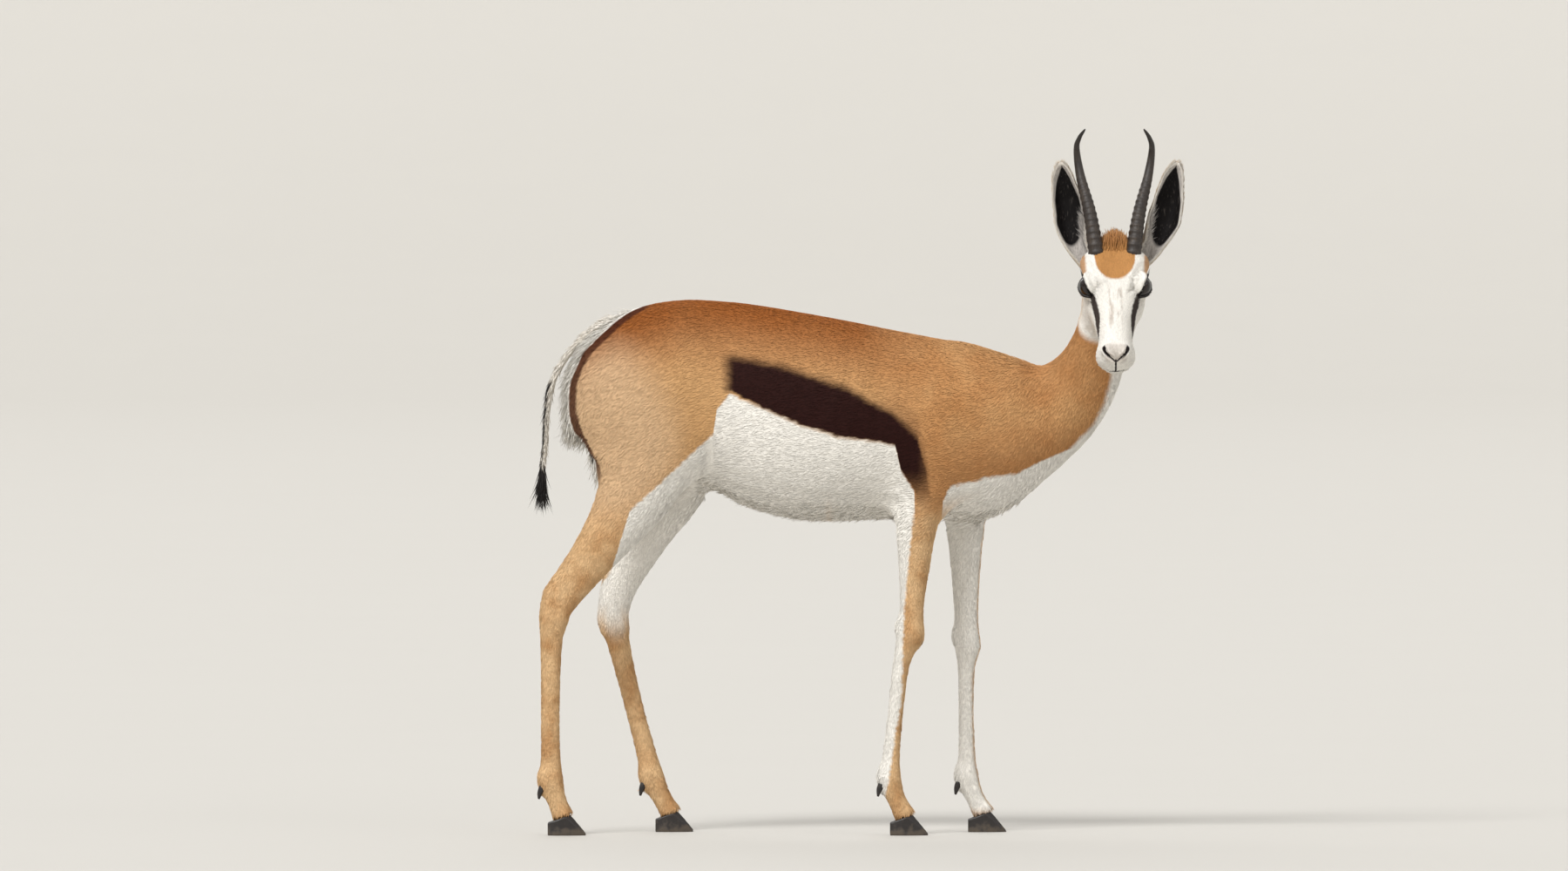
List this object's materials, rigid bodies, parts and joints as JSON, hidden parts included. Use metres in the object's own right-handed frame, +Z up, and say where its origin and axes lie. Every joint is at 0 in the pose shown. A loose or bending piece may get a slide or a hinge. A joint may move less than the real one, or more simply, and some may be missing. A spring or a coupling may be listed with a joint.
{
  "type": "springbok",
  "caption": "Life-size still model of a springbok standing on four hooves with its head turned to its right.",
  "frame": {"origin": "middle of the bounding box at the soles of the hooves", "axes": "+X from tail to chest, +Y to the animal's left, +Z up from the ground; the head faces -Y"},
  "size_m": [1.0368, 0.3218, 1.109],
  "materials": {
    "coat": "short flat hair on hide, cinnamon, chocolate and white",
    "horn": "ringed dark horn with smooth polished tips",
    "hoof": "dull black keratin",
    "eye": "wet dark brown eye"
  },
  "bodies": {
    "root": {"torso": "coat", "neck": "coat", "head": "coat", "leg_fore_right": "coat", "leg_fore_left": "coat", "leg_hind_right": "coat", "leg_hind_left": "coat", "tail": "coat", "ear_right": "coat", "ear_left": "coat", "claw_fore_right_outer": "hoof", "claw_fore_right_inner": "hoof", "claw_fore_left_outer": "hoof", "claw_fore_left_inner": "hoof", "claw_hind_right_outer": "hoof", "claw_hind_right_inner": "hoof", "claw_hind_left_outer": "hoof", "claw_hind_left_inner": "hoof", "horn_right": "horn", "horn_left": "horn", "eye_right": "eye", "eye_left": "eye"}
  },
  "joints": []
}
